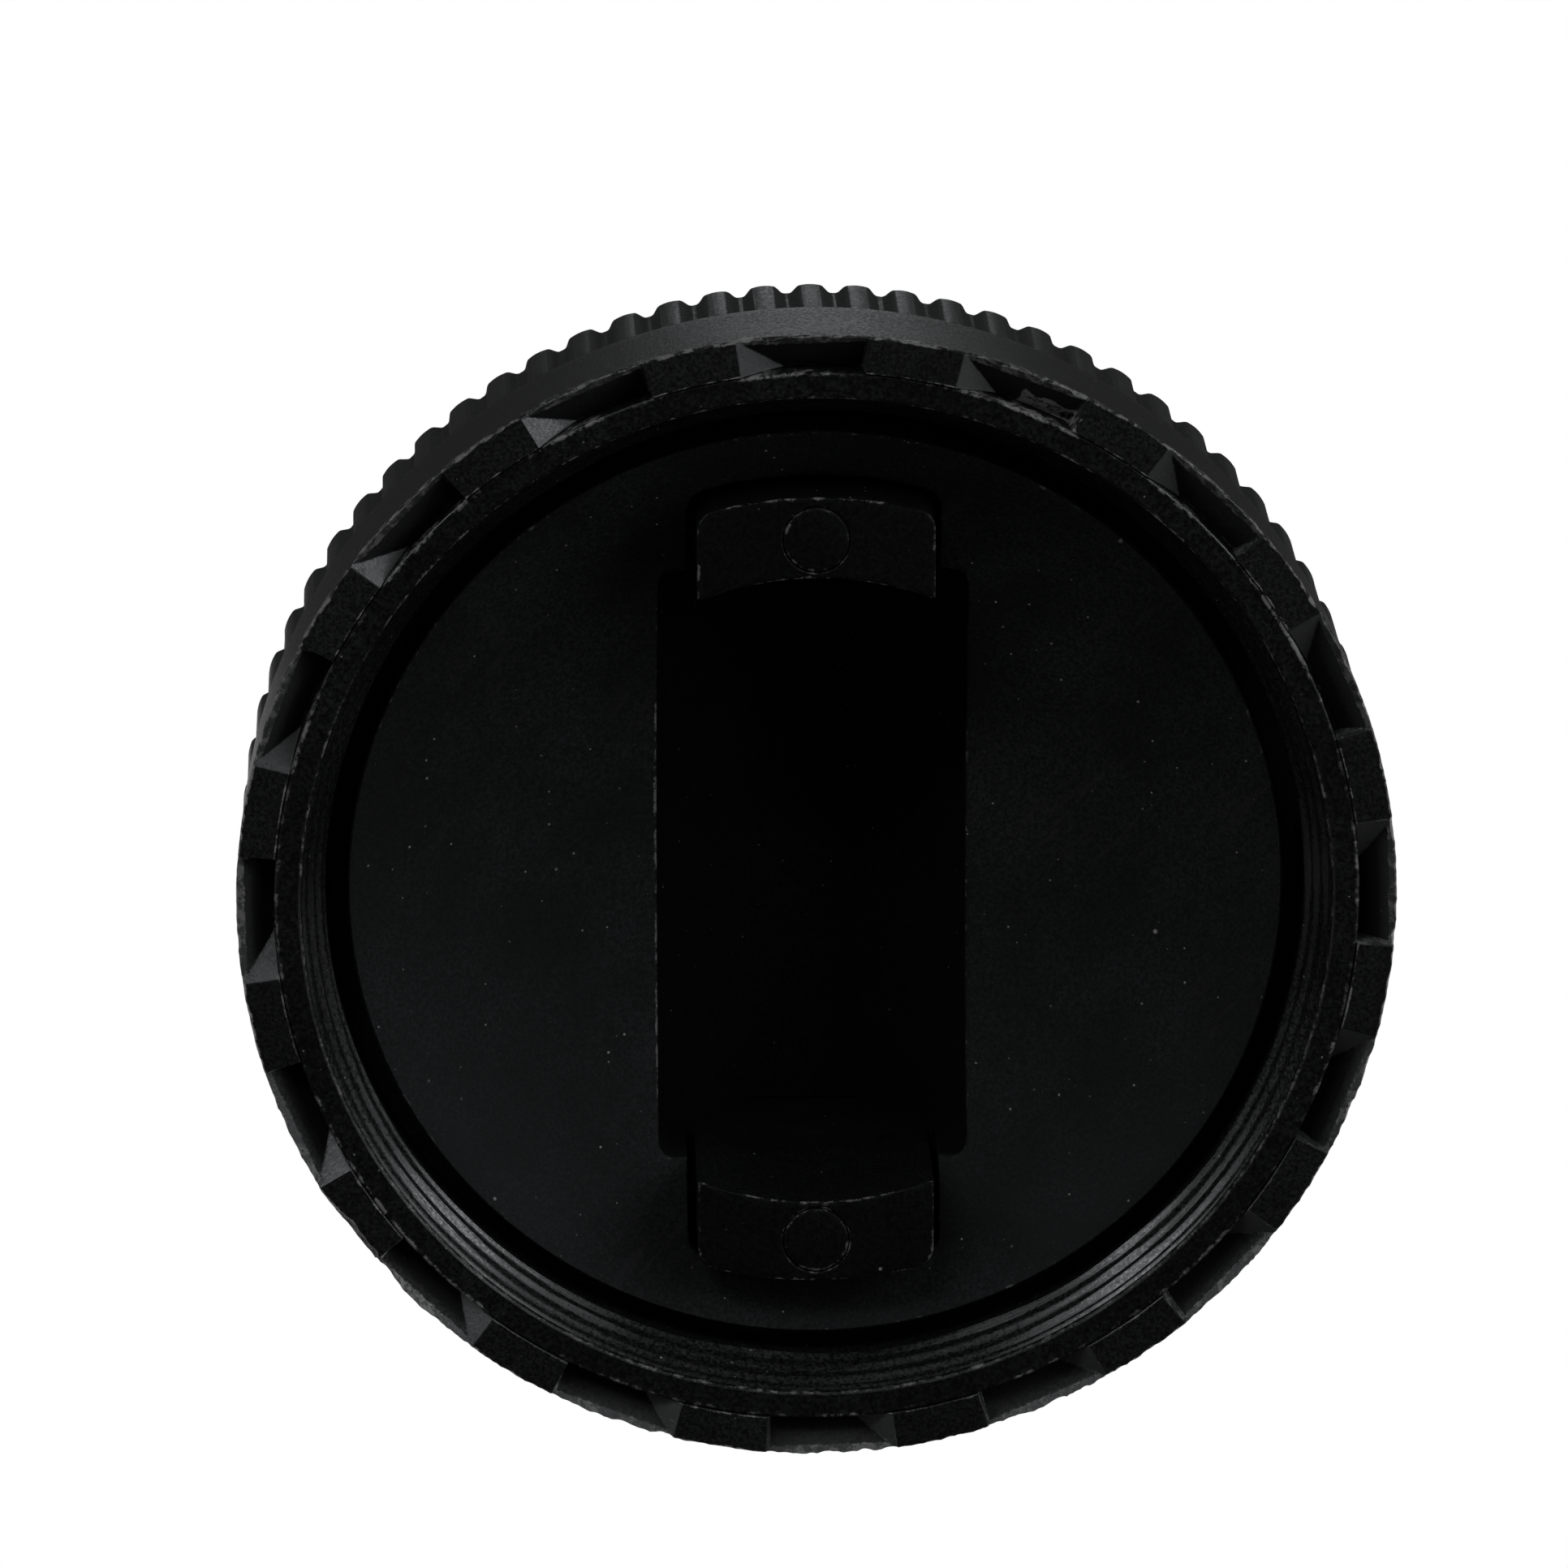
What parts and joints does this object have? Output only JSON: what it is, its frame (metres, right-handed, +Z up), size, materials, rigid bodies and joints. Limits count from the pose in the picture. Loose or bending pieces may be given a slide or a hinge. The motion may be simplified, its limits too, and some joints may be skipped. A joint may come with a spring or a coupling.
{
  "type": "battery switch",
  "caption": "Round panel-mounted rotary battery isolator switch with a knurled locking ring, a slotted dished dial and rear stud terminals.",
  "frame": {"origin": "on the switch axis, at the rear face of the panel gasket, which lies on the panel", "axes": "+Y is the switch axis from the operating face towards the terminals, +Z is up with the slot upright at rest, +X is to the right of someone facing the dial"},
  "size_m": [0.0698, 0.068, 0.0698],
  "materials": {
    "ring_plastic": "fine satin moulded, scuffed edges",
    "sleeve_plastic": "satin with fine turned lines",
    "washer_nylon": "natural nylon",
    "housing_plastic": "glass-filled, fine spark texture",
    "dial_plastic": "satin moulded, dusty, light scratches",
    "shoe_plastic": "satin moulded, worn edges",
    "pin_plastic": "satin moulded",
    "base_plastic": "glass-filled, matt",
    "seal_rubber": "matt",
    "stud_brass": "turned, lightly tarnished",
    "contact_silver": "silver-faced contact, satin",
    "bridge_copper": "rolled copper",
    "steel": "stainless, turned",
    "nut_steel": "stainless, pressed"
  },
  "bodies": {
    "housing": {"housing": "housing_plastic", "housing_bezel": "housing_plastic", "panel_gasket": "seal_rubber", "clamp_nut": "housing_plastic", "rotor_bush": "stud_brass", "friction_washer": "washer_nylon", "thrust_washer": "washer_nylon", "base_plate": "base_plastic", "base_gasket": "seal_rubber", "base_screws": "steel", "stud_supply": "stud_brass", "stud_load": "stud_brass", "contact_pad_supply": "contact_silver", "contact_pad_load": "contact_silver", "stud_seals": "seal_rubber", "jam_nuts": "nut_steel", "flat_washers": "nut_steel", "lock_washers": "nut_steel", "terminal_nuts": "nut_steel"},
    "washer_slide": {"slip_washer": "washer_nylon"},
    "lock_ring": {"knurled_ring": "ring_plastic", "threaded_sleeve": "sleeve_plastic"},
    "rotor": {"dial": "dial_plastic", "shoe_upper": "shoe_plastic", "shoe_lower": "shoe_plastic", "shoe_pins": "pin_plastic", "dial_seal": "seal_rubber", "rotor_shaft": "steel", "flange_screws": "steel", "stop_pin": "steel", "circlip": "steel", "contact_carrier": "base_plastic", "carrier_screw": "steel", "contact_springs": "steel"},
    "bridge": {"contact_bridge": "bridge_copper", "contact_buttons": "contact_silver"}
  },
  "joints": [
    {"name": "ring_turn", "type": "hinge", "parent": "washer_slide", "child": "lock_ring", "pos_m": [0, -0.0094, 0], "axis": [0, -1, 0], "range_deg": [0, 720]},
    {"name": "ring_advance", "type": "slide", "parent": "housing", "child": "washer_slide", "axis": [0, -1, 0], "range_m": [0, 0.005]},
    {"name": "switch_turn", "type": "hinge", "parent": "housing", "child": "rotor", "pos_m": [0, -0.0094, 0], "axis": [0, -1, 0], "range_deg": [0, 90]},
    {"name": "bridge_lift", "type": "slide", "parent": "rotor", "child": "bridge", "axis": [0, -1, 0], "range_m": [0, 0.0008], "stiffness_N_per_m": 2000, "springref_m": -0.004, "deforming": ["contact_springs"]}
  ],
  "couplings": [
    {"joint": "ring_advance", "follows": "ring_turn", "m_per_rad": 0.00039789}
  ]
}
